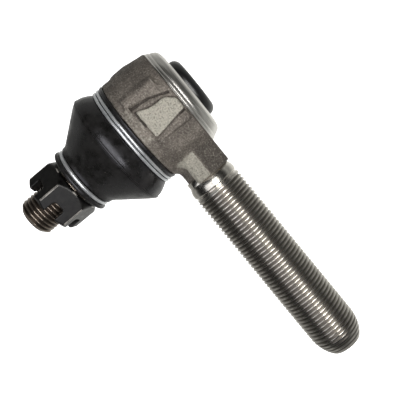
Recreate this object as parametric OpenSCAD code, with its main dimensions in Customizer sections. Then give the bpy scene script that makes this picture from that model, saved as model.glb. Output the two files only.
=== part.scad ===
// Tie rod end: a forged socket with a threaded shank, and a ball stud that swivels in it.
// The origin is the ball's centre. +X runs along the shank to its free end, -Y along the stud
// to its threaded tip, +Y through the end cap, and +Z is up as the part lies on its side.

/* [Shank] */
// Major diameter of the shank's thread
shank_d = 18; // [17:0.5:18]
// Pitch of the shank's thread
shank_pitch = 1.5; // [1:0.25:2]
// Distance from the ball's centre to the first thread
thread_start = 31.2; // [30:0.1:36]
// Distance from the ball's centre to the shank's free end
shank_end = 104; // [90:0.5:125]
// Length of the tapered lead at the shank's free end
lead_length = 8.5; // [4:0.5:12]
// Radius of the shank at its free end
lead_r = 6; // [5:0.1:7]

/* [Neck] */
// Width across the flats of the hexagonal neck
neck_flats = 18.6; // [18.2:0.1:19.5]
// Sideways offset of the neck's centre towards the end cap
neck_offset = 1.4; // [0:0.1:2.5]
// Distance from the ball's centre to the neck's outer end
neck_end = 27; // [25:0.5:28]

/* [Socket head] */
// Largest radius of the forged head, which narrows towards the rim
head_r = 20; // [19.8:0.1:20.2]
// Distance from the ball's centre to the head's face on the stud side
face_h = 8.7; // [8:0.1:10]
// Distance from the ball's centre to the edge where the machined rim begins
rim_edge = 9; // [8.6:0.1:9.2]
// Distance from the ball's centre to the crimped lip's outer face
rim_h = 13.7; // [13.6:0.1:14.2]
// Radius of the hole inside the crimped lip
lip_hole_r = 11.3; // [11.2:0.1:12.5]
// Radius of the spigot that carries the boot
spigot_r = 17.2; // [17:0.1:17.6]
// Distance from the ball's centre to the spigot's end
spigot_h = 12.6; // [12:0.1:13]
// Radius of the bore that holds the seats
bore_r = 15.6; // [15.4:0.1:15.8]

/* [Marking pad] */
// Length of the flat pad along the shank's direction
pad_x = 9; // [6:0.5:12]
// Height of the pad's flat above the ball's centre
pad_z = 20.3; // [20.2:0.1:20.5]

/* [Ball stud] */
// Radius of the ball
ball_r = 13.5; // [13:0.1:13.6]
// Radius of the stud's neck below the ball
stud_neck_r = 7.2; // [6.8:0.1:7.3]
// Radius of the taper's large end
taper_big_r = 8.3; // [8:0.1:8.6]
// Distance from the ball's centre to the taper's large end
taper_start = 20; // [19:0.5:22]
// Length of the tapered seat
taper_length = 16; // [14:0.5:16]
// Change of diameter for each millimetre of the taper
taper_rate = 0.125; // [0.1:0.005:0.125]
// Major diameter of the stud's thread
stud_d = 14; // [13.9:0.05:14]
// Pitch of the stud's thread
stud_pitch = 1.5; // [1:0.25:1.5]
// Distance from the ball's centre to the stud's tip
stud_tip = 57.5; // [56:0.5:62]
// Diameter of the cross hole for a split pin
pin_hole_d = 3.2; // [2.5:0.1:4]
// Turn of the cross hole about the stud's axis
pin_hole_turn = 73; // [0:1:180]

/* [Castle nut] */
// Width across the nut's flats
nut_flats = 20.5; // [20:0.5:22]
// Height of the nut
nut_height = 12; // [11:0.5:12.5]
// Width of the nut's slots
slot_width = 4.6; // [4:0.1:5.5]
// Depth of the nut's slots
slot_depth = 4.9; // [4:0.1:5.5]
// Turn of the nut about the stud's axis
nut_turn = 13; // [0:1:60]

/* [Dust boot] */
// Largest radius of the boot, at its moulding ridge
boot_r = 21.6; // [21.2:0.1:21.8]
// Distance from the ball's centre to the ridge
boot_ridge = 18.6; // [17.5:0.1:19]
// Thickness of the boot's wall
boot_wall = 1.8; // [1.4:0.1:2.4]
// Outer radius of the boot where the large clip sits
clip_seat_r = 18.3; // [18.1:0.1:18.6]
// Outer radius of the boot where the small clip sits
small_seat_r = 10.6; // [10.4:0.1:11]
// Distance from the ball's centre to the boot's small end
boot_tip = 36.9; // [36.5:0.1:37.2]
// Radius of the large clip's wire
clip_wire_r = 0.6; // [0.5:0.05:0.7]
// Radius of the small clip's wire
small_wire_r = 0.7; // [0.5:0.05:0.75]

/* [Hidden] */

// Finish colours
forged_grey = "#6f6862";
bearing_white = "#d9d6c8";
spring_steel = "#8d8f92";
rubber_black = "#232326";
zinc = "#c9ced2";
black_paint = "#18181a";
stud_steel = "#84807b";
oxide_black = "#2b2a2a";

// Fits
running = 0.04;
sliding = 0.08;

// Threads: depth of an ISO groove as a share of the pitch, and its crest and root flats
groove_depth = 0.6134;
crest_flat = 1 / 8;
root_flat = 1 / 4;

// Shank and neck
neck_start = 12;
neck_corner_r = neck_flats / 2 / cos(30);
neck_chamfer = 1.8;
shank_r = shank_d / 2;
collar_r = 8.6;
collar_root_r = 7.8;
collar_flare = 2;
runout = 0.4;

// Marking pad
pad_start = -3.6;
pad_side = -4.2;
pad_reach = rim_edge - 0.4 - pad_side;

// Socket: heights are along the stud's direction, so those on the cap's side are negative
shoulder_h = 7.4;
shoulder_r = 13;
mouth_r = 14.3;
lip_thickness = 1.1;
lip_h = -(rim_h - lip_thickness);
edge_r = head_r - 1.3;
rim_r = 17.6;
rim_face_r = 13.4;
spigot_lip = 0.5;

// End cap
cap_flange = 1;
cap_wall = 1.1;
cap_r = lip_hole_r - 0.2;
cap_top = rim_h + 3;
cap_round = 2.8;
seal_height = 0.7;
cap_back = lip_h + cap_flange;

// Seats
contact_h = 6.9;
seat_split = 1;
rear_face = cap_back + seal_height + 0.1;
rear_hole_r = 7.6;
ball_flat = 10.5;

// Preload spring: a coil that narrows from the rear seat to the cap
spring_wire_r = 0.7;
spring_turns = 2;
spring_sides = 10;
spring_steps = 28;
spring_big_r = 9;
spring_small_r = 7.4;
spring_low = rear_face - spring_wire_r - running;
spring_high = -(cap_top - cap_wall) + spring_wire_r + running;

// Stud
taper_end = taper_start + taper_length;
taper_small_r = taper_big_r - taper_length * taper_rate / 2;
stud_r = stud_d / 2;
stud_undercut_r = stud_r - 1;
stud_thread_start = taper_end + 2.4;
stud_chamfer = 1.6;
stud_centre_r = 2;

// Nut
nut_base = 37.6;
nut_top = nut_base + nut_height;
nut_corner_r = nut_flats / 2 / cos(30);
nut_face_r = nut_flats / 2 - 0.4;
base_chamfer = 1.8;
crown_chamfer = 1.1;
nut_countersink = 1.2;
thread_gap = 0.05;
slot_corner = 1.2;

// Boot and its clips
clip_h = 11.5;
clip_step = 1.15;
clip_groove = clip_step / 2 + clip_wire_r + 0.1;
bulge_start = 13;
bulge_start_r = 19.2;
bulge_r = boot_r - 0.25;
ridge_half = 0.4;
cone_start = boot_ridge + 3;
cone_start_r = 19.7;
cone_end = 31.6;
cone_end_r = 12.2;
cone_slope = (cone_end_r - cone_start_r) / (cone_end - cone_start);
wall_across = boot_wall * sqrt(1 + cone_slope * cone_slope);
small_clip_h = 34;
small_groove = small_wire_r + 0.1;
bead_r = 12.5;
boot_lip_gap = 0.15;
boot_lip_r = taper_big_r - (small_clip_h - taper_start - 2) * taper_rate / 2 + boot_lip_gap;

// Puts a shape that is turned about Z, with +Z towards the stud's tip, on the stud's axis
module on_stud() rotate([90, 0, 0]) children();

// Puts a shape that is turned about Z, with +Z towards the shank's end, on the shank's axis
module on_shank() rotate([0, 90, 0]) children();

// Round corner of an outline, as points about a centre
function round_points(r, h, radius, from, to, steps = 6) =
    [for (i = [0:steps]) let (a = from + (to - from) * i / steps)
        [r + radius * cos(a), h + radius * sin(a)]];

// Smooth bend from a to c that leaves and arrives along the lines to b
function bend_points(a, b, c, steps = 6) =
    [for (i = [0:steps]) let (t = i / steps)
        (1 - t) * (1 - t) * a + 2 * t * (1 - t) * b + t * t * c];

// Half section of a rod with ring-shaped thread grooves, as points of radius and height
function threaded_half(r, pitch, low, high) = let (
    depth = groove_depth * pitch,
    flank = (1 - crest_flat - root_flat) / 2 * pitch,
    count = floor((high - low) / pitch)
) concat(
    [[0, low]],
    [for (i = [0:count - 1], k = [0:3]) let (
        base = low + i * pitch,
        rise = [0, flank, flank + crest_flat * pitch, 2 * flank + crest_flat * pitch][k]
    ) [k == 0 || k == 3 ? r - depth : r, base + rise]],
    [[r - depth, high], [0, high]]
);

module threaded_rod(r, pitch, low, high, envelope) {
    rotate_extrude($fn = 96)
        intersection() {
            polygon(threaded_half(r, pitch, low, high));
            polygon(envelope);
        }
}

// Outline of the shank, from inside the neck to the rounded free end
shank_outline = [
    [0, neck_start], [collar_root_r, neck_start], [collar_root_r, neck_end],
    [collar_r, neck_end + collar_flare], [collar_r, thread_start - runout],
    [collar_root_r, thread_start], [0, thread_start]
];

// Outline of the thread's crests, which narrow along a curve to the free end
lead_outline = concat(
    [[0, thread_start - 1], [shank_r, thread_start - 1]],
    bend_points([shank_r, shank_end - lead_length], [shank_r - 0.3, shank_end - 3.5],
                [lead_r, shank_end]),
    [[0, shank_end]]
);

module shank() {
    on_shank() {
        rotate_extrude($fn = 96) polygon(shank_outline);
        threaded_rod(shank_r, shank_pitch, thread_start - 0.2, shank_end, lead_outline);
    }
}

// Hexagonal forged neck with a turned chamfer where it meets the shank
module neck() {
    length = neck_end - neck_start;
    outer_r = neck_corner_r + neck_offset;
    translate([neck_start, 0, 0])
        intersection() {
            translate([0, neck_offset, 0])
                on_shank() cylinder(r = neck_corner_r, h = length, $fn = 6);
            on_shank()
                rotate_extrude($fn = 96)
                    polygon([
                        [0, 0], [outer_r, 0], [outer_r, length - neck_chamfer],
                        [shank_r, length], [0, length]
                    ]);
        }
}

// Outside of the head: lip, turned rim, tapered forged barrel, spigot with its retaining edge
head_outline = concat(
    [[0, -rim_h]],
    bend_points([rim_face_r, -rim_h], [rim_r - 1, -rim_h], [rim_r - 0.5, -rim_h + 1.8]),
    [[rim_r, -rim_h + 2.8], [edge_r - 0.4, -rim_edge - 0.7], [edge_r, -rim_edge],
     [head_r - 0.1, -1.5], [head_r, 3.2], [head_r - 0.1, 4.3], [head_r - 0.5, 5.2],
     [head_r - 0.55, face_h], [spigot_r, face_h], [spigot_r, spigot_h - 0.9],
     [spigot_r - spigot_lip, spigot_h], [0, spigot_h]]
);

// Inside of the head: lip hole, seat bore, shoulder and flared mouth
socket_outline = [
    [0, -rim_h - 1], [lip_hole_r, -rim_h - 1], [lip_hole_r, lip_h], [bore_r, lip_h],
    [bore_r, shoulder_h], [shoulder_r, shoulder_h], [mouth_r, spigot_h],
    [mouth_r + 0.4, spigot_h + 1], [0, spigot_h + 1]
];

// Flat pad on the head's side, which stops just before the rim
module marking_pad() {
    translate([pad_start, pad_side, 0]) cube([pad_x, pad_reach, pad_z]);
}

module housing() {
    color(forged_grey)
        difference() {
            union() {
                on_stud() rotate_extrude($fn = 128) polygon(head_outline);
                neck();
                shank();
                marking_pad();
                mirror([0, 0, 1]) marking_pad();
            }
            on_stud() rotate_extrude($fn = 128) polygon(socket_outline);
        }
}

// Bearing half on the stud's side, which the ball is pressed against
module front_seat() {
    color(bearing_white)
        on_stud()
            difference() {
                rotate_extrude($fn = 96)
                    polygon([
                        [10, -seat_split], [bore_r - running, -seat_split],
                        [bore_r - running, shoulder_h - 0.5], [bore_r - 0.5, shoulder_h],
                        [12.4, shoulder_h], [10, contact_h - 1]
                    ]);
                sphere(r = ball_r + running, $fn = 96);
            }
}

// Bearing half on the cap's side, which the spring pushes
module rear_seat() {
    color(bearing_white)
        on_stud()
            difference() {
                rotate_extrude($fn = 96)
                    polygon([
                        [rear_hole_r, -2 * seat_split], [bore_r - sliding, -2 * seat_split],
                        [bore_r - sliding, rear_face + 1], [bore_r - 1.1, rear_face],
                        [rear_hole_r, rear_face]
                    ]);
                sphere(r = ball_r + running, $fn = 96);
            }
}

// Ring of points around the spring's wire at step i
function spring_ring(i) = let (
    share = i / (spring_turns * spring_steps),
    turn = 360 * spring_turns * share,
    r = spring_big_r + (spring_small_r - spring_big_r) * share,
    h = spring_low + (spring_high - spring_low) * share
) [for (k = [0:spring_sides - 1]) let (
    a = 360 * k / spring_sides,
    out = r + spring_wire_r * cos(a)
) [out * cos(turn), out * sin(turn), h + spring_wire_r * sin(a)]];

module preload_spring() {
    rings = spring_turns * spring_steps;
    points = [for (i = [0:rings]) each spring_ring(i)];
    sides = [for (i = [0:rings - 1], k = [0:spring_sides - 1]) let (
        next = (k + 1) % spring_sides,
        a = i * spring_sides,
        b = a + spring_sides
    ) [a + k, a + next, b + next, b + k]];
    start = [for (k = [spring_sides - 1:-1:0]) k];
    end = [for (k = [0:spring_sides - 1]) rings * spring_sides + k];
    color(spring_steel)
        on_stud()
            polyhedron(points, concat(sides, [start], [end]), convexity = 6);
}

// Gasket between the cap's flange and the rear of the bore
module cap_seal() {
    color(rubber_black)
        on_stud()
            translate([0, 0, cap_back])
                difference() {
                    cylinder(r = bore_r - running, h = seal_height, $fn = 96);
                    translate([0, 0, -1])
                        cylinder(r = bore_r - 2.4, h = seal_height + 2, $fn = 96);
                }
}

// Pressed cover with a flange under the lip and a dome that stands out past it
module end_cap() {
    dome = -cap_top;
    inside = cap_round - cap_wall;
    color(black_paint)
        on_stud()
            rotate_extrude($fn = 96)
                polygon(concat(
                    [[0, dome]],
                    round_points(cap_r - cap_round, dome + cap_round, cap_round, -90, 0),
                    [[cap_r, lip_h], [bore_r - running, lip_h], [bore_r - running, cap_back],
                     [cap_r - cap_wall, cap_back]],
                    round_points(cap_r - cap_round, dome + cap_round, inside, 0, -90),
                    [[0, dome + cap_wall]]
                ));
}

// Outside of the boot: lip, clip seat, bulge, ridge, cone, small clip seat and bead
boot_outside = concat(
    [[spigot_r + running, face_h + running], [19.1, face_h + running], [19.6, face_h + 0.5],
     [19.4, clip_h - clip_groove - 0.2], [clip_seat_r, clip_h - clip_groove],
     [clip_seat_r, clip_h + clip_groove]],
    [for (i = [0:6]) let (t = i / 6) [
        bulge_start_r + (bulge_r - bulge_start_r) * sin(90 * t),
        bulge_start + (boot_ridge - ridge_half - bulge_start) * t
    ]],
    [[boot_r, boot_ridge]],
    bend_points([bulge_r - 0.1, boot_ridge + ridge_half],
                [cone_start_r - cone_slope * 2.2, cone_start - 2.2], [cone_start_r, cone_start]),
    bend_points([cone_end_r - cone_slope, cone_end - 1], [cone_end_r, cone_end],
                [cone_end_r, cone_end + 1], 3),
    [[small_seat_r, small_clip_h - small_groove], [small_seat_r, small_clip_h + small_groove]],
    round_points(bead_r - 0.8, small_clip_h + small_groove + 0.8, 0.8, -50, 60),
    [[9.4, boot_tip]]
);

// Inside of the boot, from its lip on the stud back to the spigot
boot_inside = concat(
    [[boot_lip_r, boot_tip], [boot_lip_r, small_clip_h - 2]],
    bend_points([cone_end_r - wall_across - cone_slope * 3, cone_end - 3],
                [cone_start_r - wall_across - cone_slope * 2, cone_start - 2],
                [bulge_r - boot_wall, boot_ridge - 1]),
    bend_points([bulge_r - boot_wall, boot_ridge - 1], [bulge_r - boot_wall, bulge_start + 1.6],
                [spigot_r + running, spigot_h + 0.8])
);

// Rubber boot from the spigot to the stud's taper
module dust_boot() {
    color(rubber_black)
        on_stud() rotate_extrude($fn = 96) polygon(concat(boot_outside, boot_inside));
}

// Sprung wire of two turns that holds the boot on the spigot
module large_boot_clip() {
    ring_r = clip_seat_r + running + clip_wire_r;
    color(zinc)
        on_stud()
            rotate_extrude($fn = 96)
                for (side = [-1, 1])
                    translate([ring_r, clip_h + side * clip_step / 2])
                        circle(r = clip_wire_r, $fn = 32);
}

// Sprung wire ring that holds the boot's lip on the stud
module small_boot_clip() {
    color(zinc)
        on_stud()
            translate([0, 0, small_clip_h])
                rotate_extrude($fn = 96)
                    translate([small_seat_r + running + small_wire_r, 0])
                        circle(r = small_wire_r, $fn = 32);
}

// Outline of the stud, from the ball's flat to the start of the thread
stud_outline = [
    [0, -ball_flat], [stud_neck_r, -ball_flat], [stud_neck_r, taper_start - 2.2],
    [taper_big_r, taper_start - 1.2], [taper_big_r, taper_start],
    [taper_small_r, taper_end - 0.1], [stud_undercut_r, taper_end + 0.6],
    [stud_undercut_r, stud_thread_start + 0.1], [0, stud_thread_start + 0.1]
];
stud_thread_outline = [
    [0, stud_thread_start - 1], [stud_r, stud_thread_start - 1],
    [stud_r, stud_tip - stud_chamfer], [stud_r - stud_chamfer, stud_tip],
    [stud_centre_r, stud_tip], [0, stud_tip - stud_centre_r]
];

module ball_stud() {
    color(stud_steel)
        on_stud()
            difference() {
                union() {
                    difference() {
                        sphere(r = ball_r, $fn = 96);
                        translate([0, 0, -ball_r - ball_flat])
                            cube(2 * ball_r, center = true);
                    }
                    rotate_extrude($fn = 96) polygon(stud_outline);
                    threaded_rod(stud_r, stud_pitch, stud_thread_start, stud_tip,
                                 stud_thread_outline);
                }
                translate([0, 0, nut_top - slot_depth / 2])
                    rotate([90, 0, pin_hole_turn])
                        cylinder(d = pin_hole_d, h = 4 * stud_r, center = true, $fn = 32);
            }
}

// One slot of the nut, open at the crown, with rounded inner corners
module nut_slot() {
    half = slot_width / 2 - slot_corner;
    floor_h = nut_top - slot_depth;
    rotate([90, 0, 0])
        linear_extrude(nut_flats)
            union() {
                translate([-slot_width / 2, floor_h + slot_corner])
                    square([slot_width, slot_depth]);
                translate([-half, floor_h]) square([2 * half, slot_depth]);
                for (side = [-1, 1])
                    translate([side * half, floor_h + slot_corner])
                        circle(r = slot_corner, $fn = 32);
            }
}

module castle_nut() {
    color(oxide_black)
        on_stud()
            rotate([0, 0, nut_turn])
                difference() {
                    intersection() {
                        translate([0, 0, nut_base])
                            rotate([0, 0, 30])
                                cylinder(r = nut_corner_r, h = nut_height, $fn = 6);
                        rotate_extrude($fn = 96)
                            polygon([
                                [0, nut_base], [nut_face_r - 0.8, nut_base],
                                [nut_corner_r, nut_base + base_chamfer],
                                [nut_corner_r, nut_top - crown_chamfer],
                                [nut_face_r, nut_top], [0, nut_top]
                            ]);
                    }
                    rotate_extrude($fn = 96)
                        polygon([
                            [0, nut_base - 1], [stud_r + nut_countersink, nut_base - 1],
                            [stud_r + nut_countersink, nut_base],
                            [stud_r + thread_gap, nut_base + nut_countersink],
                            [stud_r + thread_gap, nut_top + 1], [0, nut_top + 1]
                        ]);
                    for (i = [0:5]) rotate([0, 0, 60 * i]) nut_slot();
                }
}

housing();
front_seat();
rear_seat();
preload_spring();
cap_seal();
end_cap();
dust_boot();
large_boot_clip();
small_boot_clip();
ball_stud();
castle_nut();
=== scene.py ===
import math

import bpy
import numpy as np
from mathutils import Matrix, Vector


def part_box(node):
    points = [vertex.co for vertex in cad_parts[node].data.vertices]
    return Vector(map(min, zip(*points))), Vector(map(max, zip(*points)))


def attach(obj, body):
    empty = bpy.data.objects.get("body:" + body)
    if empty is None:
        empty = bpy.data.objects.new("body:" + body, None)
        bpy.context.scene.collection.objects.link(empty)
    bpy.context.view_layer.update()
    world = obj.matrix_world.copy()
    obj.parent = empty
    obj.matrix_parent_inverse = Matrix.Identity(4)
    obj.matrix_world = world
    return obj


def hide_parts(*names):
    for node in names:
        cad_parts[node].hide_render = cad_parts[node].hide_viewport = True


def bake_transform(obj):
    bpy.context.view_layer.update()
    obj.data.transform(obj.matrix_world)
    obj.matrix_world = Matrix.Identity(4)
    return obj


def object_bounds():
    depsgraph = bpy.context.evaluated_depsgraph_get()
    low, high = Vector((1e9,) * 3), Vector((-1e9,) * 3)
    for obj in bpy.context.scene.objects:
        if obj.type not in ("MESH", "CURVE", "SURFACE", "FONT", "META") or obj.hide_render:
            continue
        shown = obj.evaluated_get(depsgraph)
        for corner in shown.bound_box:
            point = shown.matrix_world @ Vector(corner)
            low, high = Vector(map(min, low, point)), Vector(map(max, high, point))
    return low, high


# Tie rod end, as it lies on its side under soft studio light. Meshes are worked out in
# millimetres in the frame's own axes: +X along the shank to its free end, -Y along the stud to
# its tip, +Y through the end cap, +Z up, with the origin at the ball's centre.

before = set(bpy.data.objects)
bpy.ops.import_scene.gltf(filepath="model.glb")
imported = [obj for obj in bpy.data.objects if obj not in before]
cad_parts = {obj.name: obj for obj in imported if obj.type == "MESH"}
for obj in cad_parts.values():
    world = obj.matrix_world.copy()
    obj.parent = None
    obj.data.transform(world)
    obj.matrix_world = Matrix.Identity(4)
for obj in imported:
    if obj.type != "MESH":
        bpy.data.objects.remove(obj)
cad_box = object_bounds()

MM = 0.001


def span(node):
    """Lowest and highest corner of a CAD node, in millimetres"""
    return [np.array(corner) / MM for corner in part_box(node)]


# ---------------------------------------------------------------- sizes, in millimetres
# Heights in outlines are along the stud's direction, -Y. RIM_H, RIM_EDGE, CAP_TOP and BALL_FLAT
# are distances on the cap's side, +Y, so outlines take them with a minus sign.

# Gap left between pieces that touch
GAP = 0.04

housing_low, housing_high = span("housing")
cap_high = span("end_cap")[1]
boot_low, boot_high = span("dust_boot")
clip_low, clip_high = span("large_boot_clip")
ring_low, ring_high = span("small_boot_clip")
stud_low, stud_high = span("ball_stud")
nut_low, nut_high = span("castle_nut")

# Shank
SHANK_R = 9.0
PITCH = 1.5
THREAD_START = 31.2
SHANK_END = housing_high[0]
LEAD_LENGTH = 8.5
LEAD_R = 6.0
COLLAR_R = 8.8
COLLAR_ROOT_R = 8.0
NECK_END = 27.0
FLARE_END = NECK_END + 2.2
NECK_FLATS = 18.6
NECK_OFFSET = 1.4

# Threads, as shares of the pitch: depth of the groove, flat on its crest and at its root
THREAD_DEPTH = 0.46
CREST = 0.2
ROOT = 0.2

# Socket head
HEAD_R = -housing_low[0]
FACE_H = -boot_high[1] - GAP
RIM_H = housing_high[1]
RIM_EDGE = RIM_H - 4.7
EDGE_R = HEAD_R - 1.3
SPIGOT_R = 17.2
SPIGOT_H = -housing_low[1]
BORE_R = 15.6
LIP_HOLE_R = 11.3
LIP_THICKNESS = 1.1
SHOULDER_H = 7.4
MOUTH_R = 13
MOUTH_SLOPE = 0.25

# Forged skin: the crevice's line in Y and X, its depth, the pad's middle and half length in Y,
# the way that the neck's slanted flats face, the neck's cone, and the half width and the spacing
# of the grid that the mesh is made on
CREVICE_Y = [-5.2, 1.7, 7.8]
CREVICE_X = [-5.3, -4.3, -2.0]
CREVICE_DEPTH = 1.6
PAD_Y = 2.15
PAD_HALF = 6.4
FLAT_Y, FLAT_Z = 0.5, 0.866
CONE_SLOPE = 1.745
FORGING_REACH = 21
FORGING_GRID = 0.27

# End cap
CAP_R = LIP_HOLE_R - 0.2
CAP_TOP = cap_high[1]
CAP_WALL = 1.1
CAP_ROUND = 2.8

# Boot and its clips
BOOT_R = boot_high[2]
BOOT_TIP = -boot_low[1]
BOOT_RIDGE = 18.6
BOOT_WALL = 1.8
BOOT_SPLIT = 22.0
BULGE_START = 13
BULGE_START_R = 19.2
CLIP_WIRE_R = 0.52
CLIP_H = -(clip_low[1] + clip_high[1]) / 2
CLIP_STEP = clip_high[1] - clip_low[1] - 2 * CLIP_WIRE_R
CLIP_SEAT_R = clip_high[2] - 2 * CLIP_WIRE_R - GAP
RING_WIRE_R = (ring_high[1] - ring_low[1]) / 2
RING_H = -(ring_low[1] + ring_high[1]) / 2
RING_SEAT_R = ring_high[2] - 2 * RING_WIRE_R - GAP
RING_HALF_GAP = 4
CONE_START = BOOT_RIDGE + 3
CONE_START_R = BOOT_R - 1.9
CONE_END = RING_H - 2.4
CONE_END_R = RING_SEAT_R + 1.6
BEAD_R = 12.5

# Stud and nut
BALL_R = stud_high[2]
BALL_FLAT = stud_high[1]
STUD_NECK_R = 7.2
TAPER_START = 20.0
TAPER_BIG_R = 8.3
TAPER_END = 36.0
TAPER_RATE = 0.125
STUD_R = 7.0
STUD_TIP = -stud_low[1]
NUT_BASE = -nut_high[1]
NUT_TOP = -nut_low[1]
NUT_FLATS = 20.5
NUT_TURN = math.radians(13)
SLOT_WIDTH = 4.6
SLOT_DEPTH = 4.9
NUT_GRID = 0.19
NUT_EDGE_REACH = 0.65


# ---------------------------------------------------------------- outlines

def arc(r, h, radius, start, end, steps=12):
    """Round corner of an outline about a centre, angles in degrees"""
    a = np.radians(np.linspace(start, end, steps + 1))
    return np.stack([r + radius * np.cos(a), h + radius * np.sin(a)], 1)


def bend(a, b, c, steps=16):
    """Smooth curve from a to c that leaves and arrives along the lines to b"""
    a, b, c = map(np.array, (a, b, c))
    t = np.linspace(0, 1, steps + 1)[:, None]
    return (1 - t) ** 2 * a + 2 * t * (1 - t) * b + t * t * c


def outline(*parts):
    """Joins points and curves into one outline of radius and height"""
    return np.vstack([np.atleast_2d(part) for part in parts]).astype(float)


def between(points, low, high):
    """The stretch of an outline between two heights, with its ends cut square"""
    heights = points[:, 1]
    kept = points[(heights > low) & (heights < high)]
    ends = [[np.interp(h, heights, points[:, 0]), h] for h in (low, high)
            if heights[0] < h < heights[-1]]
    if not ends:
        return kept
    joined = outline(kept, ends)
    return joined[np.argsort(joined[:, 1], kind="stable")]


def resample(points, step):
    """The same outline with points no further apart than step along its height"""
    made = [points[:1]]
    for a, b in zip(points[:-1], points[1:]):
        count = max(1, int(np.ceil(abs(b[1] - a[1]) / step)))
        made.append(a + (b - a) * np.linspace(0, 1, count + 1)[1:, None])
    return np.vstack(made)


# ---------------------------------------------------------------- meshes

def on_stud(r, turn, h):
    """Points about the stud's axis"""
    return np.stack([r * np.cos(turn), -h, r * np.sin(turn)], -1)


def on_shank(r, turn, x):
    """Points about the shank's axis"""
    return np.stack([x, r * np.cos(turn), r * np.sin(turn)], -1)


def quads(rows, columns, closed):
    """Faces of a grid that is closed along its columns, and along its rows if asked"""
    i, j = np.meshgrid(np.arange(rows if closed else rows - 1), np.arange(columns),
                       indexing="ij")
    below, right = (i + 1) % rows, (j + 1) % columns
    corners = [i * columns + j, i * columns + right, below * columns + right,
               below * columns + j]
    return np.stack([c.ravel() for c in corners], 1)


def turned(place, points, closed=False, sides=192, thread=None):
    """Solid of revolution. Its outline runs from pole to pole, or round a ring if closed.
    A thread is (major radius, pitch, start, end) and cuts a right-hand groove.
    Returns points, faces and how deep in a groove each point lies, from 0 to 1."""
    turn = np.linspace(0, 2 * np.pi, sides, endpoint=False)[None, :]
    r, h = points[:, :1], points[:, 1:]
    radius = np.repeat(r, sides, 1)
    groove = np.zeros_like(radius)
    if thread:
        major, pitch, start, end = thread
        phase = np.mod((h - start) / pitch - turn / (2 * np.pi), 1)
        slope = np.clip((np.abs(2 * phase - 1) - CREST) / (1 - CREST - ROOT), 0, 1)
        fade = np.clip((h - start) / (0.8 * pitch), 0, 1) * np.clip((end - h) / pitch, 0, 1)
        depth = THREAD_DEPTH * pitch * slope * fade
        groove = slope * fade * ((h > start) & (h < end))
        radius = np.where((h > start) & (h < end), np.minimum(radius, major - depth), radius)
    made = place(radius, turn, np.repeat(h, sides, 1)).reshape(-1, 3)
    faces = quads(len(points), sides, closed).tolist()
    if not closed:
        last = (len(points) - 1) * sides
        faces.append(list(range(sides))[::-1])
        faces.append([last + k for k in range(sides)])
    return made, faces, {"groove": groove.ravel()}


def swept(path, radii, sides=16):
    """Round wire along a path about the stud's axis, with a radius at each point"""
    along = np.gradient(path, axis=0)
    along /= np.linalg.norm(along, axis=1, keepdims=True)
    out = path * np.array([1, 0, 1])
    out -= along * np.sum(out * along, 1, keepdims=True)
    out /= np.linalg.norm(out, axis=1, keepdims=True)
    up = np.cross(along, out)
    a = np.linspace(0, 2 * np.pi, sides, endpoint=False)[None, :, None]
    ring = out[:, None] * np.cos(a) + up[:, None] * np.sin(a)
    points = (path[:, None] + ring * np.asarray(radii)[:, None, None]).reshape(-1, 3)
    faces = quads(len(path), sides, False).tolist()
    last = (len(path) - 1) * sides
    faces.append(list(range(sides))[::-1])
    faces.append([last + k for k in range(sides)])
    return points, faces, {}


def surface(field, low, high, step):
    """Closed mesh where field(x, y, z) is zero, by surface nets on a regular grid"""
    axes = [np.arange(a - 1.5 * step, b + 2.5 * step, step) for a, b in zip(low, high)]
    values = field(*np.meshgrid(*axes, indexing="ij"))
    shape = values.shape
    size = int(np.prod(shape))
    count = np.zeros(size)
    total = np.zeros((3, size))
    faces = []
    for axis in range(3):
        first = [slice(None)] * 3
        second = [slice(None)] * 3
        first[axis] = slice(None, -1)
        second[axis] = slice(1, None)
        a, b = values[tuple(first)], values[tuple(second)]
        at = np.stack(np.nonzero((a < 0) != (b < 0)))
        a, b = a[tuple(at)], b[tuple(at)]
        crossing = at.astype(float)
        crossing[axis] += a / (a - b)
        u, v = (axis + 1) % 3, (axis + 2) % 3
        ring = []
        for du, dv in ((0, 0), (-1, 0), (-1, -1), (0, -1)):
            cell = at.copy()
            cell[u] += du
            cell[v] += dv
            ids = np.ravel_multi_index(cell, shape)
            ring.append(ids)
            count += np.bincount(ids, minlength=size)
            for k in range(3):
                total[k] += np.bincount(ids, crossing[k], minlength=size)
        ring = np.stack(ring, 1)
        ring[a > 0] = ring[a > 0][:, ::-1]
        faces.append(ring)
    used = np.nonzero(count)[0]
    index = np.zeros(size, int)
    index[used] = np.arange(len(used))
    start = np.array([axis[0] for axis in axes])
    points = start + step * (total[:, used] / count[used]).T
    return points, index[np.vstack(faces)]


def edge_and_crevice_depth(field, points, reach):
    """How much each point lies on an outer edge and in a crevice, from 0 to 1"""
    x, y, z = points.T
    small = 0.05
    slope = np.stack([field(x + small, y, z) - field(x - small, y, z),
                      field(x, y + small, z) - field(x, y - small, z),
                      field(x, y, z + small) - field(x, y, z - small)], 1)
    slope /= np.maximum(np.linalg.norm(slope, axis=1, keepdims=True), 1e-6)
    inner = points - reach * slope
    outer = points + reach * slope
    edge = np.clip((field(*inner.T) + reach) / reach, 0, 1)
    crevice = np.clip((reach - field(*outer.T)) / reach, 0, 1)
    return {"edge": edge, "crevice": crevice}


def piece(name, made, look, node, body=None, sharp=None):
    """Blender object of a mesh, with its look, that stands for a CAD node and rides on a body"""
    points, faces, values = made
    mesh = bpy.data.meshes.new(name)
    mesh.from_pydata((np.asarray(points) * MM).tolist(), [], faces)
    for key, value in values.items():
        mesh.attributes.new(key, "FLOAT", "POINT").data.foreach_set("value", value)
    mesh.shade_smooth()
    if sharp:
        mesh.set_sharp_from_angle(angle=math.radians(sharp))
    mesh.materials.append(look)
    made_object = bpy.data.objects.new(name, mesh)
    bpy.context.scene.collection.objects.link(made_object)
    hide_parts(node)
    if body:
        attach(made_object, body)
    return made_object


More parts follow.
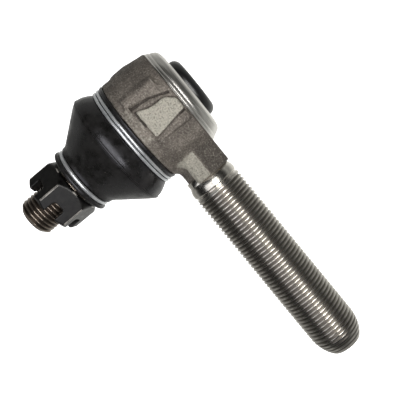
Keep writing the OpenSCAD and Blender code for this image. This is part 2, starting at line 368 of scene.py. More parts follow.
# ---------------------------------------------------------------- solid shapes

def meet(a, b, r=0.0):
    """What two shapes share, with its edge rounded"""
    if r == 0:
        return np.maximum(a, b)
    inside = np.minimum(np.maximum(a, b), -r)
    return inside + np.hypot(np.maximum(a + r, 0), np.maximum(b + r, 0))


def join(a, b, r=0.0):
    """Two shapes together, with a fillet where they meet"""
    return -meet(-a, -b, r)


def cut(a, b, r=0.0):
    """One shape without another, with the new edge rounded"""
    return meet(a, -b, r)


def block(x, y, z, low, high, r):
    """Box between two corners with rounded edges"""
    middle = (np.array(low) + high) / 2
    half = (np.array(high) - low) / 2 - r
    d = [np.abs(p - m) - s for p, m, s in zip((x, y, z), middle, half)]
    outside = np.sqrt(sum(np.maximum(q, 0) ** 2 for q in d))
    return outside + np.minimum(np.maximum(np.maximum(d[0], d[1]), d[2]), 0) - r


def ripple(x, y, z, size):
    """Gentle unevenness of a forged skin, between about -1 and 1"""
    k = 2 * np.pi / size
    return (np.sin(k * (x + 0.6 * z)) * np.sin(k * (0.9 * y - 0.4 * x) + 1)
            + 0.5 * np.sin(1.9 * k * (z - 0.3 * y) + 2) * np.sin(2.1 * k * (x + 0.5 * y))) / 1.5


# ---------------------------------------------------------------- housing

def barrel_radius(y):
    """Radius of the forged head, which narrows to the rim and has a step near the boot"""
    return np.interp(y, [-FACE_H, -5.2, -4.3, -3.2, 1.5, RIM_EDGE],
                     [HEAD_R - 0.55, HEAD_R - 0.5, HEAD_R - 0.1, HEAD_R, HEAD_R - 0.15, EDGE_R])


def wedge(across, y, level, start, end):
    """Crevice in the forged skin from start to end, across being the distance to its line"""
    floor = HEAD_R - CREVICE_DEPTH - 0.015 * (y - 2) ** 2
    flank = np.abs(across) * 0.8 - (level - floor) * 0.6
    return np.maximum(flank, meet(start - y, y - end, 0.5))


def pad_outline(x, y):
    """Signed distance to the pad's uneven outline, as seen along Z"""
    left = join(0.38 * (y + 3.94) - 0.93 * (x + 3.56), -1.65 - x, 0.6)
    corner = 0.71 * (y - 5.77) - 0.7 * (x + 1.63)
    right = 0.99 * (x - 4.81) + 0.16 * (y - 8.86)
    return meet(meet(left, corner, 0.8), meet(np.abs(y - PAD_Y) - PAD_HALF, right, 0.6), 0.6)


def barrel_field(rho, y):
    """Round body of the head, from its face on the boot's side to the rim"""
    ends = np.abs(y - (RIM_EDGE - FACE_H) / 2) - (RIM_EDGE + FACE_H) / 2
    return meet(rho - barrel_radius(y), ends, 0.5)


def neck_field(x, y, z):
    """Hexagonal neck, bevelled on the boot's side above and below, with a cone on its end"""
    level = np.abs(z)
    across = np.abs(y - NECK_OFFSET)
    slanted = across * FLAT_Y + level * FLAT_Z - NECK_FLATS / 2
    neck = meet(across - NECK_FLATS / 2, slanted, 0.5)
    bevel = -(y + 4) * 0.906 + (level - 7.1) * 0.423
    neck = meet(neck, bevel, 0.5)
    cone = (np.hypot(y, z) - SHANK_R - (NECK_END - x) * CONE_SLOPE) * 0.5
    neck = meet(neck, cone, 0.4)
    return meet(neck, np.maximum(8 - x, x - NECK_END), 0.25)


def pocket_field(x, y, level):
    """Shallow hollow between the crevice's line and the pad"""
    sides = np.maximum(np.interp(y, CREVICE_Y, CREVICE_X) - x, np.abs(y - 1.4) - 6.2)
    return meet(np.maximum(sides, x - 2), HEAD_R - 1.0 - level, 0.4)


def forging_field(x, y, z):
    """Forged head and neck with the socket's bore. Apart from the ripples of its skin, it is the
    same above and below."""
    rho = np.hypot(x, z)
    level = np.abs(z)
    solid = join(barrel_field(rho, y), neck_field(x, y, z), 1.8)
    pad = meet(pad_outline(x, y), np.maximum(level - HEAD_R - 0.3, 12 - level), 0.5)
    block_by_neck = block(x, y, level, [5.4, -4.6, 12], [8.6, 8.4, HEAD_R - 1.25], 0.6)
    solid = join(cut(solid, pocket_field(x, y, level), 0.4), pad, 0.35)
    solid = join(solid, block_by_neck, 0.3)
    bulge = np.hypot(x + 7.6, level - HEAD_R + 2.6) - 1.9
    solid = join(solid, np.maximum(bulge, np.abs(y) - 6), 1.2)
    by_pocket = wedge(x - np.interp(y, CREVICE_Y, CREVICE_X), y, level, CREVICE_Y[0],
                      CREVICE_Y[-1])
    by_neck = wedge(x - 7.4 + 0.1 * y, y, level - 0.5, -4.8, 4.5)
    solid = cut(cut(solid, by_pocket, 0.2), by_neck, 0.4)
    solid = solid + 0.08 * ripple(x, y, z, 7.5) + 0.04 * ripple(y, z, x, 2.6)
    solid = solid + 0.025 * ripple(z, x, y, 1.5)
    spigot = np.maximum(rho - SPIGOT_R, np.abs(y + 10) - (SPIGOT_H - 10))
    solid = np.minimum(solid, spigot)
    solid = meet(solid, y - RIM_EDGE)
    bore = np.maximum(rho - BORE_R, -SHOULDER_H - y)
    mouth = rho - MOUTH_R - MOUTH_SLOPE * np.clip(-y - SHOULDER_H, 0, 6)
    return cut(cut(solid, bore), mouth)


def skin_rubbing_and_painted_light(x, y, z):
    """Tone of the forged skin, from -1 to 1. It rises to 1 where the pad and the strip beside it
    are lighter from rubbing, and on the neck's slanted flat that faces the stud, where it is a
    painted light. It falls to -1 where painted shade darkens the neck's flat on the cap's side
    and the head's far side towards -X.
    """
    flat = np.clip((np.abs(z) - HEAD_R + 0.1) / 0.25, 0, 1) * (pad_outline(x, y) < 0.1)
    # Painted light: the neck's slanted flat that faces the stud is made lighter, as if lit from
    # that side
    lit_facet = (NECK_OFFSET - y) * FLAT_Y + np.abs(z) * FLAT_Z - NECK_FLATS / 2
    lit_facet = np.clip((lit_facet + 0.9) / 0.5, 0, 1) * np.clip((x - 16.2) / 1.6, 0, 1)
    lit_facet = lit_facet * np.clip((NECK_OFFSET - y) / 0.3, 0, 1) * np.clip((y + 7) / 2, 0, 1)
    lit_facet = lit_facet * (x < NECK_END - 0.2)
    strip = (y < -4.8) & (y > -8.3) & (np.abs(x - 0.5) < 6.5) & (np.abs(z) > 15)
    light = np.maximum.reduce([flat, lit_facet, 0.38 * strip])
    # Painted shade: the neck's flat on the cap's side and the head's far side towards -X are made
    # darker, as if turned from the light
    shaded_face = np.clip((y - NECK_OFFSET) / 0.4, 0, 1) * np.clip((x - 16.5) / 1.5, 0, 1)
    shaded_side = 0.55 * np.clip((-x - 7) / 3, 0, 1)
    return light - np.maximum(shaded_face, shaded_side)


def head_forging(look):
    """Forged head and neck, with how near each point lies to an outer edge and to a crevice, and
    the tone of its skin from rubbing, painted light and painted shade
    """
    points, faces = surface(forging_field, [-FORGING_REACH, -SPIGOT_H, -FORGING_REACH],
                            [NECK_END, RIM_EDGE, FORGING_REACH], FORGING_GRID)
    values = edge_and_crevice_depth(forging_field, points, 0.8)
    values["tone"] = skin_rubbing_and_painted_light(*points.T)
    piece("head_forging", (points, faces.tolist(), values), look, "housing",
          "socket")


def head_rim(look):
    """Machined end of the socket with its lip rolled over the cap"""
    lip = -RIM_H + LIP_THICKNESS
    edge = -RIM_EDGE
    points = outline(
        [[BORE_R, edge], [BORE_R, lip], [LIP_HOLE_R, lip]],
        arc(LIP_HOLE_R + 0.3, -RIM_H + 0.3, 0.3, 180, 270, 4),
        bend([13.2, -RIM_H], [16.2, -RIM_H + 0.1], [16.9, -RIM_H + 1.5]),
        bend([17.0, -RIM_H + 1.7], [17.5, -RIM_H + 2.4], [17.6, -RIM_H + 3.1]),
        bend([17.7, -RIM_H + 3.2], [18.1, -RIM_H + 3.6], [18.2, -RIM_H + 4.2]),
        [[EDGE_R - 0.2, edge - 0.3], [EDGE_R - 0.1, edge]])
    piece("head_rim", turned(on_stud, points, closed=True, sides=256), look,
          "housing", "socket", sharp=35)


def threaded_shank(look):
    """Collar after the neck, then the thread, which tapers to the shank's free end"""
    lead = bend([SHANK_R, SHANK_END - LEAD_LENGTH], [SHANK_R - 0.3, SHANK_END - 3.5],
                [LEAD_R, SHANK_END], 30)
    points = outline(
        [[0.01, NECK_END - 2], [COLLAR_ROOT_R, NECK_END - 2], [COLLAR_ROOT_R, NECK_END]],
        bend([COLLAR_ROOT_R, NECK_END], [COLLAR_R - 0.1, FLARE_END - 0.8],
             [COLLAR_R, FLARE_END], 10),
        [[COLLAR_R, THREAD_START - 0.7], [COLLAR_R - 0.15, THREAD_START - 0.4],
         [COLLAR_ROOT_R + 0.3, THREAD_START - 0.1], [COLLAR_ROOT_R + 0.3, THREAD_START + 0.2],
         [SHANK_R - 0.15, THREAD_START + 0.8], [SHANK_R, THREAD_START + 1.0]],
        lead, [[LEAD_R - 0.5, SHANK_END], [0.01, SHANK_END]])
    points = np.vstack([points[:3], resample(points[3:], PITCH / 12)])
    thread = (SHANK_R, PITCH, THREAD_START + 0.3, SHANK_END - 0.1)
    piece("threaded_shank", turned(on_shank, points, sides=112, thread=thread), look,
          "housing", "socket", sharp=50)


# ---------------------------------------------------------------- boot and clips

def boot_profiles():
    """Outside and inside of the boot, from its lip on the socket to its small end"""
    groove = CLIP_STEP / 2 + CLIP_WIRE_R + 0.1
    bulge_r = BOOT_R - 0.25
    t = np.linspace(0, 1, 20)[:, None]
    bulge = np.hstack([BULGE_START_R + (bulge_r - BULGE_START_R) * np.sin(np.pi / 2 * t),
                       BULGE_START + (BOOT_RIDGE - 0.4 - BULGE_START) * t])
    slope = (CONE_END_R - CONE_START_R) / (CONE_END - CONE_START)
    wall = BOOT_WALL * math.hypot(1, slope)
    bead = RING_H + RING_WIRE_R + 0.1
    outside = outline(
        [[SPIGOT_R + GAP, FACE_H + GAP], [18.9, FACE_H + 0.05]],
        arc(19.1, FACE_H + 0.55, 0.5, -90, 10, 6),
        [[19.4, CLIP_H - groove - 0.25]],
        bend([BULGE_START_R, CLIP_H - groove - 0.05], [CLIP_SEAT_R, CLIP_H - groove],
             [CLIP_SEAT_R, CLIP_H - groove + 0.3], 5),
        bend([CLIP_SEAT_R, CLIP_H + groove - 0.25], [CLIP_SEAT_R, CLIP_H + groove],
             [CLIP_SEAT_R + 0.5, CLIP_H + groove + 0.1], 5),
        bulge,
        arc(BOOT_R - 0.6, BOOT_RIDGE, 0.6, -42, 42, 8),
        bend([bulge_r - 0.05, BOOT_RIDGE + 0.4],
             [CONE_START_R - slope * 2.2, CONE_START - 2.2], [CONE_START_R, CONE_START], 20),
        bend([CONE_END_R - slope, CONE_END - 1], [CONE_END_R, CONE_END],
             [CONE_END_R, CONE_END + 1], 8),
        bend([CONE_END_R, CONE_END + 1.1], [RING_SEAT_R, RING_H - RING_WIRE_R - 0.3],
             [RING_SEAT_R, RING_H - RING_WIRE_R], 5),
        [[RING_SEAT_R, bead - 0.2]],
        arc(BEAD_R - 0.8, bead + 0.8, 0.8, -70, 80, 14),
        [[10.2, BOOT_TIP - 0.1], [9.4, BOOT_TIP]])
    lip_r = TAPER_BIG_R - (RING_H - TAPER_START - 2) * TAPER_RATE / 2 + 0.15
    inside = outline(
        [[SPIGOT_R + GAP, FACE_H + GAP], [SPIGOT_R + GAP, SPIGOT_H + 0.8]],
        bend([SPIGOT_R + 0.1, SPIGOT_H + 0.9], [bulge_r - BOOT_WALL, 14.6],
             [bulge_r - BOOT_WALL, BOOT_RIDGE - 1], 12),
        bend([bulge_r - BOOT_WALL, BOOT_RIDGE - 0.9],
             [CONE_START_R - wall - slope * 2, CONE_START - 2], [CONE_START_R - wall, CONE_START],
             12),
        [[CONE_END_R - wall - slope, CONE_END - 1], [lip_r, RING_H - 2], [lip_r, BOOT_TIP]])
    return outside, inside


def boot_shell(low, high):
    """The boot between two heights"""
    outside, inside = (between(points, low, high) for points in boot_profiles())
    return turned(on_stud, outline(outside, inside[::-1]), closed=True, sides=224)


def dust_boot(look):
    """Two shells of the boot that meet on the cone"""
    upper = piece("boot_upper", boot_shell(-100, BOOT_SPLIT), look, "dust_boot",
                  sharp=40)
    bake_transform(upper)
    lower = piece("boot_lower", boot_shell(BOOT_SPLIT, 100), look, "dust_boot",
                  sharp=40)
    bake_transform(lower)


def wire_ends(count, radius):
    """Radii of a wire whose two ends are rounded over"""
    rounding = np.sqrt(1 - np.linspace(0.98, 0, 5) ** 2)
    radii = np.full(count, radius)
    radii[:5] *= rounding
    radii[-5:] *= rounding[::-1]
    return radii


def large_clip(look):
    """Wire of two turns. It steps to the second turn underneath, and has a slight kink on top."""
    ends = math.radians(8)
    turn = np.linspace(ends, 4 * np.pi - ends, 800)
    step = np.clip((turn - 2 * np.pi) / math.radians(24) + 0.5, 0, 1)
    step = step * step * (3 - 2 * step)
    around = turn - math.radians(90)
    from_kink = around - math.radians(103)
    kink = 0.22 * np.tanh(np.sin(from_kink) * 12)
    kink = kink * (np.cos(from_kink) > 0) * np.cos(from_kink) ** 2
    height = CLIP_H + CLIP_STEP * (step - 0.5) + 0.4 * kink
    radius = CLIP_SEAT_R + CLIP_WIRE_R + GAP
    path = on_stud(radius, around, height)
    piece("large_clip_wire", swept(path, wire_ends(len(path), CLIP_WIRE_R)), look,
          "large_boot_clip", "socket")


def small_clip(look):
    """Wire ring that is open by a narrow gap underneath"""
    turn = np.radians(np.linspace(RING_HALF_GAP - 90, 270 - RING_HALF_GAP, 260))
    path = on_stud(RING_SEAT_R + RING_WIRE_R + GAP, turn, np.full(len(turn), RING_H))
    piece("small_clip_wire", swept(path, wire_ends(len(path), RING_WIRE_R)), look,
          "small_boot_clip", "boot_lip")


# ---------------------------------------------------------------- cap, stud and nut

def end_cap(look):
    """Pressed cover whose flange lies under the rolled lip"""
    lip = -RIM_H + LIP_THICKNESS
    dome = -CAP_TOP
    inner = CAP_ROUND - CAP_WALL
    points = outline(
        [[0.01, dome + CAP_WALL]],
        arc(CAP_R - CAP_ROUND, dome + CAP_ROUND, inner, -90, 0, 8),
        [[CAP_R - CAP_WALL, lip + 1], [BORE_R - GAP, lip + 1], [BORE_R - GAP, lip],
         [CAP_R, lip]],
        arc(CAP_R - CAP_ROUND, dome + CAP_ROUND, CAP_ROUND, 0, -90, 16),
        [[CAP_R - CAP_ROUND - 2, dome], [0.01, dome]])
    points, faces, values = turned(on_stud, points, sides=224)
    piece("cover", (points, [face[::-1] for face in faces], values), look,
          "end_cap", "socket", sharp=40)


def ball_stud(look):
    """Ball, neck, taper, undercut and thread, with a centre hole in the tip"""
    undercut_r = STUD_R - 1
    start = TAPER_END + 2.4
    flat_angle = math.degrees(math.asin(BALL_FLAT / BALL_R))
    neck_angle = math.degrees(math.acos(STUD_NECK_R / BALL_R))
    points = outline(
        [[0.01, -BALL_FLAT]],
        arc(0, 0, BALL_R, -flat_angle, neck_angle, 60),
        [[STUD_NECK_R, TAPER_START - 2.2], [TAPER_BIG_R, TAPER_START - 1.2],
         [TAPER_BIG_R, TAPER_START],
         [TAPER_BIG_R - (TAPER_END - TAPER_START) * TAPER_RATE / 2, TAPER_END - 0.1],
         [undercut_r, TAPER_END + 0.6], [undercut_r, start - 0.4], [STUD_R - 0.9, start]])
    tip = outline([[STUD_R - 0.9, start], [STUD_R, start + 0.8], [STUD_R, STUD_TIP - 1.6],
                   [STUD_R - 1.5, STUD_TIP - 0.15], [STUD_R - 1.8, STUD_TIP]])
    tip = resample(tip, PITCH / 12)[1:]
    hollow = outline([[2.3, STUD_TIP]], arc(1.9, STUD_TIP - 0.4, 0.4, 80, 20, 3)[1:],
                     [[1.9, STUD_TIP - 0.3], [0.01, STUD_TIP - 2]])
    thread = (STUD_R, PITCH, start + 0.2, STUD_TIP - 0.2)
    piece("stud", turned(on_stud, outline(points, tip, hollow), sides=144, thread=thread), look,
          "ball_stud", "stud", sharp=50)


def nut_blank(x, y, z):
    """Castle nut without its bore and slots, in its own axes, with z towards the crown"""
    rho = np.hypot(x, y)
    apothem = NUT_FLATS / 2
    faces = [x * math.cos(a) + y * math.sin(a) for a in np.radians(np.arange(0, 360, 60))]
    sides = faces[0] - apothem
    for face in faces[1:]:
        sides = meet(sides, face - apothem, 0.25)
    crown = rho + 1.25 * (z - NUT_TOP) - apothem + 0.2
    base = rho + 0.9 * (NUT_BASE - z) - apothem + 0.3
    solid = meet(sides, meet(z - NUT_TOP, NUT_BASE - z), 0.3)
    return meet(meet(solid, crown * 0.62, 0.3), base * 0.74, 0.3)


def nut_field(x, y, z):
    """Castle nut with its countersunk bore and its six slots, in its own axes"""
    solid = nut_blank(x, y, z)
    bore = np.hypot(x, y) - STUD_R - 0.05
    bore = bore - np.clip(z - NUT_TOP + 0.9, 0, 2) - np.clip(NUT_BASE + 1.2 - z, 0, 2)
    solid = cut(solid, bore, 0.15)
    deep = NUT_TOP - SLOT_DEPTH - z
    for a in np.radians((0, 60, 120)):
        across = np.abs(-x * math.sin(a) + y * math.cos(a)) - SLOT_WIDTH / 2
        solid = cut(solid, meet(across, deep, 1.2), 0.25)
    return solid


def castle_nut(look):
    """The nut, turned about the stud's axis, with how near each point lies to an outer edge, for
    the light steel on its edges
    """
    reach = NUT_FLATS / 2 / math.cos(math.pi / 6)
    points, faces = surface(nut_field, [-reach, -reach, NUT_BASE], [reach, reach, NUT_TOP],
                            NUT_GRID)
    values = {"edge": np.clip(4 * edge_and_crevice_depth(nut_blank, points, NUT_EDGE_REACH)["edge"], 0, 1)}
    x, y, z = points.T
    turn = np.arctan2(y, x) + NUT_TURN
    made = on_stud(np.hypot(x, y), turn, z)
    piece("slotted_nut", (made, faces.tolist(), values), look, "castle_nut",
          "stud")


# ---------------------------------------------------------------- materials

def shade(red, green, blue):
    """Linear colour of a screen colour given from 0 to 255"""
    def linear(c):
        c /= 255
        return c / 12.92 if c <= 0.04045 else ((c + 0.055) / 1.055) ** 2.4
    return (linear(red), linear(green), linear(blue), 1)


class Look:
    """One procedural material, made of a few kinds of node in the part's own coordinates"""

    def __init__(self, name, metallic=0.0, roughness=0.5, specular=0.5, coat=0.0):
        self.material = bpy.data.materials.new(name)
        self.material.use_nodes = True
        self.tree = self.material.node_tree
        self.shader = self.tree.nodes["Principled BSDF"]
        self.put("Metallic", metallic)
        self.put("Roughness", roughness)
        self.put("Specular IOR Level", specular)
        self.put("Coat Weight", coat)
        self.place = self.node("ShaderNodeTexCoord").outputs["Object"]

    def node(self, kind, **settings):
        """New shader node with its settings"""
        made = self.tree.nodes.new(kind)
        for key, value in settings.items():
            setattr(made, key, value)
        return made

    def put(self, socket, value):
        """Sets a socket of the shader to a constant, or links it to a node's output"""
        if isinstance(value, bpy.types.NodeSocket):
            self.tree.links.new(value, self.shader.inputs[socket])
        else:
            self.shader.inputs[socket].default_value = value

    def feed(self, node, socket, value):
        """Sets a socket of any node to a constant, or links it to another node's output"""
        if isinstance(value, bpy.types.NodeSocket):
            self.tree.links.new(value, node.inputs[socket])
        else:
            node.inputs[socket].default_value = value

    def stretched(self, scale):
        """The part's own coordinates, scaled along each axis"""
        made = self.node("ShaderNodeMapping")
        made.inputs["Scale"].default_value = scale
        self.feed(made, "Vector", self.place)
        return made.outputs["Vector"]

    def noise(self, size, detail=3.0, roughness=0.55, stretch=(1, 1, 1)):
        """Noise whose grains are about size millimetres"""
        made = self.node("ShaderNodeTexNoise")
        self.feed(made, "Vector", self.stretched(stretch))
        made.inputs["Scale"].default_value = 1 / (size * MM)
        made.inputs["Detail"].default_value = detail
        made.inputs["Roughness"].default_value = roughness
        return made.outputs["Fac"]

    def value(self, name):
        """A number that the mesh holds at each of its points"""
        return self.node("ShaderNodeAttribute", attribute_name=name).outputs["Fac"]

    def ramp(self, fac, *stops):
        """Colours along a value, as (place, colour)"""
        made = self.node("ShaderNodeValToRGB")
        elements = made.color_ramp.elements
        while len(elements) < len(stops):
            elements.new(0.5)
        for element, (place, colour) in zip(elements, stops):
            element.position = place
            element.color = colour
        self.feed(made, "Fac", fac)
        return made.outputs["Color"]

    def level(self, fac, low, high, start=0.0, end=1.0):
        """Number that goes from start to end as a value goes from low to high"""
        made = self.node("ShaderNodeMapRange")
        for socket, value in zip(("Value", "From Min", "From Max", "To Min", "To Max"),
                                 (fac, low, high, start, end)):
            self.feed(made, socket, value)
        return made.outputs["Result"]

    def blend(self, fac, a, b):
        """Colour a where fac is 0, colour b where it is 1"""
        made = self.node("ShaderNodeMix", data_type="RGBA")
        self.feed(made, 0, fac)
        self.feed(made, 6, a)
        self.feed(made, 7, b)
        return made.outputs[2]

    def maths(self, operation, a, b):
        """Result of one operation on two numbers"""
        made = self.node("ShaderNodeMath", operation=operation)
        self.feed(made, 0, a)
        self.feed(made, 1, b)
        return made.outputs[0]

    def bump(self, height, depth, strength=1.0):
        """Relief of about depth millimetres"""
        made = self.node("ShaderNodeBump")
        made.inputs["Strength"].default_value = strength
        made.inputs["Distance"].default_value = depth * MM
        self.feed(made, "Height", height)
        self.put("Normal", made.outputs["Normal"])


def forged_look():
    """Grey forged skin with coarse grain, lighter from rubbing on the pad, with lighter outer
    edges and a painted light on the neck's slanted flat that faces the stud. Painted shade lies
    in the crevices, on the neck's flat on the cap's side and on the head's far side.
    """
    look = Look("forged_skin", metallic=0.35, roughness=0.6)
    broad = look.noise(6, 4)
    grain = look.noise(0.55, 3, 0.7)
    tone = look.value("tone")
    skin = look.ramp(broad, (0.35, shade(106, 99, 92)), (0.65, shade(142, 134, 125)))
    # Painted shade: where the tone is below 0, the skin darkens towards a shaded grey
    skin = look.blend(look.level(tone, 0.0, -1.0, 0.0, 0.6), skin, shade(62, 58, 53))
    # Where the tone is above 0, the skin turns light: rubbed on the pad and the strip beside it,
    # and a painted light on the neck's slanted flat
    rubbed_plus_painted_light = look.maths("ADD", tone, look.level(look.noise(1.4, 3), 0.3, 0.7, -0.25, 0.25))
    skin = look.blend(look.level(rubbed_plus_painted_light, 0.3, 0.75, 0.0, 0.85), skin, shade(198, 194, 181))
    skin = look.blend(look.level(look.value("edge"), 0.25, 0.8, 0.0, 0.35), skin,
                      shade(190, 184, 174))
    skin = look.blend(look.level(grain, 0.48, 0.66, 0.0, 0.55), skin, shade(66, 61, 56))
    skin = look.blend(look.level(grain, 0.46, 0.32, 0.0, 0.4), skin, shade(206, 200, 188))
    # Painted shade: the skin darkens in the crevices, as if shadowed
    skin = look.blend(look.level(look.value("crevice"), 0.1, 0.7, 0.0, 0.75), skin,
                      shade(50, 44, 40))
    look.put("Base Color", skin)
    look.put("Roughness", look.level(grain, 0.3, 0.7, 0.45, 0.68))
    look.bump(look.maths("ADD", grain, look.noise(1.6, 3)), 0.35, 1.0)
    return look.material


def machined_look():
    """Bright steel with fine turning rings"""
    look = Look("machined_steel", metallic=1.0, roughness=0.3)
    rings = look.noise(0.35, 2, 0.6, (0.02, 1, 0.02))
    stain = look.noise(5, 4)
    look.put("Base Color", look.ramp(stain, (0.3, shade(222, 219, 214)),
                                     (0.7, shade(242, 240, 235))))
    look.put("Roughness", look.level(rings, 0.3, 0.7, 0.24, 0.42))
    look.bump(rings, 0.02, 0.6)
    return look.material


def thread_look(name, crest, groove, metallic, stretch):
    """Steel with a colour for its thread's crests and a darker one for the grooves, which is
    painted shade in the grooves
    """
    look = Look(name, metallic=metallic, roughness=0.36)
    deep = look.value("groove")
    stain = look.noise(3.5, 4)
    fine = look.noise(0.3, 2, 0.6, stretch)
    # Painted shade: points deep in a groove take the darker groove colour
    colour = look.ramp(deep, (0.0, crest), (1.0, groove))
    colour = look.blend(look.level(stain, 0.45, 0.7, 0.0, 0.3), colour, groove)
    look.put("Base Color", colour)
    look.put("Roughness", look.level(deep, 0, 1, 0.24, 0.4))
    look.bump(fine, 0.02, 0.5)
    return look.material


def rubber_look():
    """Black rubber with a faint mottle and specks of dust"""
    look = Look("boot_rubber", roughness=0.4, specular=0.5)
    look.put("Specular Tint", (0.9, 0.9, 1.0, 1))
    mottle = look.noise(3.2, 4)
    dust = look.noise(0.5, 2, 0.7)
    tone = look.ramp(mottle, (0.3, shade(20, 20, 19)), (0.7, shade(38, 37, 36)))
    tone = look.blend(look.level(dust, 0.66, 0.76, 0.0, 0.4), tone, shade(120, 116, 112))
    look.put("Base Color", tone)
    look.put("Roughness", look.level(mottle, 0.35, 0.65, 0.22, 0.42))
    look.bump(look.noise(0.45, 3, 0.6), 0.05, 0.5)
    return look.material


def wire_look():
    """Zinc-plated spring wire"""
    look = Look("zinc_wire", metallic=0.75, roughness=0.3)
    stain = look.noise(1.5, 3)
    look.put("Base Color", look.ramp(stain, (0.3, shade(216, 219, 222)),
                                     (0.7, shade(240, 242, 244))))
    look.put("Roughness", look.level(stain, 0.3, 0.7, 0.28, 0.38))
    look.bump(look.noise(1.1, 2), 0.02, 0.3)
    return look.material


def oxide_look():
    """Black oxide finish with light steel on the outer edges, partly rubbed through and partly a
    painted highlight along the edges
    """
    look = Look("oxide_nut", metallic=0.4, roughness=0.34, coat=0.35)
    look.put("Coat Roughness", 0.25)
    mottle = look.noise(1.8, 4)
    tone = look.ramp(mottle, (0.35, shade(14, 13, 13)), (0.65, shade(27, 26, 25)))
    # Light steel on the outer edges: partly rubbed through, partly a painted highlight along them
    rubbed_plus_painted_light = look.maths("MULTIPLY", look.value("edge"), look.level(mottle, 0.3, 0.6, 0.5, 1.2))
    tone = look.blend(look.level(rubbed_plus_painted_light, 0.03, 0.2), tone, shade(190, 185, 178))
    look.put("Base Color", tone)
    look.put("Roughness", look.level(mottle, 0.3, 0.7, 0.3, 0.5))
    look.bump(look.noise(0.5, 3), 0.04, 0.6)
    return look.material


def cap_look():
    """Black paint on the pressed cover"""
    look = Look("cap_paint", roughness=0.3, specular=0.9)
    mottle = look.noise(4, 3)
    look.put("Base Color", look.ramp(mottle, (0.3, shade(12, 12, 14)), (0.7, shade(20, 20, 22))))
    look.put("Roughness", look.level(mottle, 0.3, 0.7, 0.3, 0.4))
    look.bump(look.noise(0.9, 2), 0.03, 0.3)
    return look.material


def inner_look(name, low, high, metallic, roughness):
    """Finish of a piece inside the socket"""
    look = Look(name, metallic=metallic, roughness=roughness)
    look.put("Base Color", look.ramp(look.noise(2.5, 3), (0.3, low), (0.7, high)))
    look.bump(look.noise(0.6, 2), 0.03, 0.4)
    return look.material


def carried_over(node, look):
    """Gives a look to a CAD node that no piece replaces"""
    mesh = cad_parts[node].data
    mesh.materials.clear()
    mesh.materials.append(look)


# ---------------------------------------------------------------- the studio

CENTRE = (40 * MM, -10 * MM, 0)

# The camera's focal length and place in millimetres, and its turn in degrees
LENS = 53.23
CAMERA_PLACE = (17.0, 9.11, 205.0)
CAMERA_TURN = (-6.16, 1.02, 50.49)

# The surroundings' grey, from straight down at 0 to straight up at 1, and how many degrees
# their horizon is tilted
SKY = [(0.0, 1.0), (0.1, 0.7), (0.26, 0.27), (0.36, 0.25), (0.43, 0.38), (0.52, 0.12),
       (0.6, 0.02), (0.7, 0.005), (0.95, 0.005), (1.0, 0.05)]
HORIZON_TILT = (-12, 8, 0)

# Half the floor's width, and how far it lies under the part, in metres
FLOOR_HALF = 1.5
FLOOR_DROP = 0.0005


def camera():
    """Looks almost straight down, turned so that the shank points to the lower right"""
    data = bpy.data.cameras.new("camera")
    data.sensor_width = 36
    data.lens = LENS
    data.clip_start = 0.01
    made = bpy.data.objects.new("camera", data)
    made.location = [place * MM for place in CAMERA_PLACE]
    made.rotation_euler = [math.radians(a) for a in CAMERA_TURN]
    bpy.context.scene.collection.objects.link(made)
    bpy.context.scene.camera = made


def softbox(name, azimuth, tilt, distance, size, brightness, colour, mirrored=True):
    """Rectangular light that faces the part, tilt degrees from overhead towards azimuth.
    Where it isn't mirrored, polished metal doesn't show it."""
    data = bpy.data.lights.new(name, "AREA")
    data.shape = "RECTANGLE"
    data.size, data.size_y = size
    data.color = colour
    data.energy = brightness * math.pi * size[0] * size[1]
    made = bpy.data.objects.new(name, data)
    a, t = math.radians(azimuth), math.radians(tilt)
    made.location = (CENTRE[0] + distance * math.sin(t) * math.cos(a),
                     CENTRE[1] + distance * math.sin(t) * math.sin(a), distance * math.cos(t))
    made.rotation_euler = (0, t, a)
    made.visible_glossy = mirrored
    bpy.context.scene.collection.objects.link(made)


def sky(scene):
    """Surroundings that are dark overhead, grey near the horizon and white straight down"""
    world = bpy.data.worlds.new("studio")
    world.use_nodes = True
    nodes, links = world.node_tree.nodes, world.node_tree.links
    split = nodes.new("ShaderNodeSeparateXYZ")
    tilt = nodes.new("ShaderNodeMapping")
    tilt.inputs["Rotation"].default_value = [math.radians(a) for a in HORIZON_TILT]
    links.new(nodes.new("ShaderNodeTexCoord").outputs["Generated"], tilt.inputs["Vector"])
    links.new(tilt.outputs["Vector"], split.inputs[0])
    lift = nodes.new("ShaderNodeMapRange")
    lift.inputs["From Min"].default_value = -1
    links.new(split.outputs["Z"], lift.inputs["Value"])
    ramp = nodes.new("ShaderNodeValToRGB")
    elements = ramp.color_ramp.elements
    while len(elements) < len(SKY):
        elements.new(0.5)
    for element, (place, grey) in zip(elements, SKY):
        element.position = place
        element.color = (grey, grey, grey * 0.96, 1)
    links.new(lift.outputs["Result"], ramp.inputs["Fac"])
    links.new(ramp.outputs["Color"], nodes["Background"].inputs["Color"])
    scene.world = world


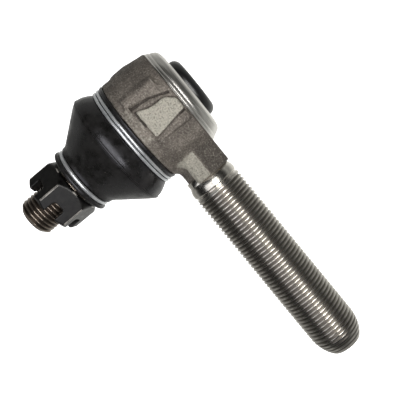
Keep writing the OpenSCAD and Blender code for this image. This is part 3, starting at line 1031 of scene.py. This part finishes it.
def studio():
    """Three soft lights over a pale floor that shines evenly"""
    scene = bpy.context.scene
    scene.view_settings.view_transform = "Standard"
    sky(scene)
    softbox("key", 90, 11, 0.9, (0.32, 1.0), 6.4, (1.0, 0.99, 0.97))
    softbox("fill", -90, 26, 0.9, (0.6, 1.0), 1.3, (0.97, 0.97, 1.0))
    softbox("wash", -30, 42, 0.8, (1.0, 1.0), 0.75, (1.0, 1.0, 1.0), mirrored=False)
    corners = [(-FLOOR_HALF, -FLOOR_HALF, 0), (FLOOR_HALF, -FLOOR_HALF, 0),
               (FLOOR_HALF, FLOOR_HALF, 0), (-FLOOR_HALF, FLOOR_HALF, 0)]
    mesh = bpy.data.meshes.new("floor")
    mesh.from_pydata(corners, [], [(0, 1, 2, 3)])
    look = Look("floor_paper", roughness=0.9, specular=0.0)
    tint = look.ramp(look.noise(300, 2), (0.3, shade(250, 250, 250)), (0.7, shade(255, 255, 255)))
    look.put("Base Color", tint)
    look.put("Emission Color", tint)
    look.put("Emission Strength", 1.0)
    mesh.materials.append(look.material)
    floor = bpy.data.objects.new("floor", mesh)
    floor.location = (CENTRE[0], CENTRE[1], cad_box[0][2] - FLOOR_DROP)
    floor.visible_glossy = False
    floor.visible_diffuse = False
    scene.collection.objects.link(floor)


# ---------------------------------------------------------------- the whole part

steel = shade(232, 228, 220)
head_forging(forged_look())
head_rim(machined_look())
# The shank's thread, with painted shade in its grooves
threaded_shank(thread_look("shank_thread", steel, shade(124, 119, 113), 1.0, (1, 0.02, 0.02)))
dust_boot(rubber_look())
zinc = wire_look()
large_clip(zinc)
small_clip(zinc)
end_cap(cap_look())
# The stud's thread, with painted shade in its grooves
ball_stud(thread_look("stud_thread", shade(164, 152, 140), shade(52, 45, 40), 0.9,
                      (0.02, 1, 0.02)))
castle_nut(oxide_look())
for seat in ("front", "rear"):
    carried_over(seat + "_seat", inner_look("seat_plastic_" + seat, shade(206, 203, 190),
                                            shade(222, 219, 207), 0.0, 0.5))
carried_over("preload_spring", inner_look("spring_steel", shade(120, 122, 126),
                                          shade(152, 154, 158), 1.0, 0.35))
carried_over("cap_seal", inner_look("seal_rubber", shade(30, 30, 32), shade(42, 42, 44), 0.0,
                                    0.6))
camera()
studio()
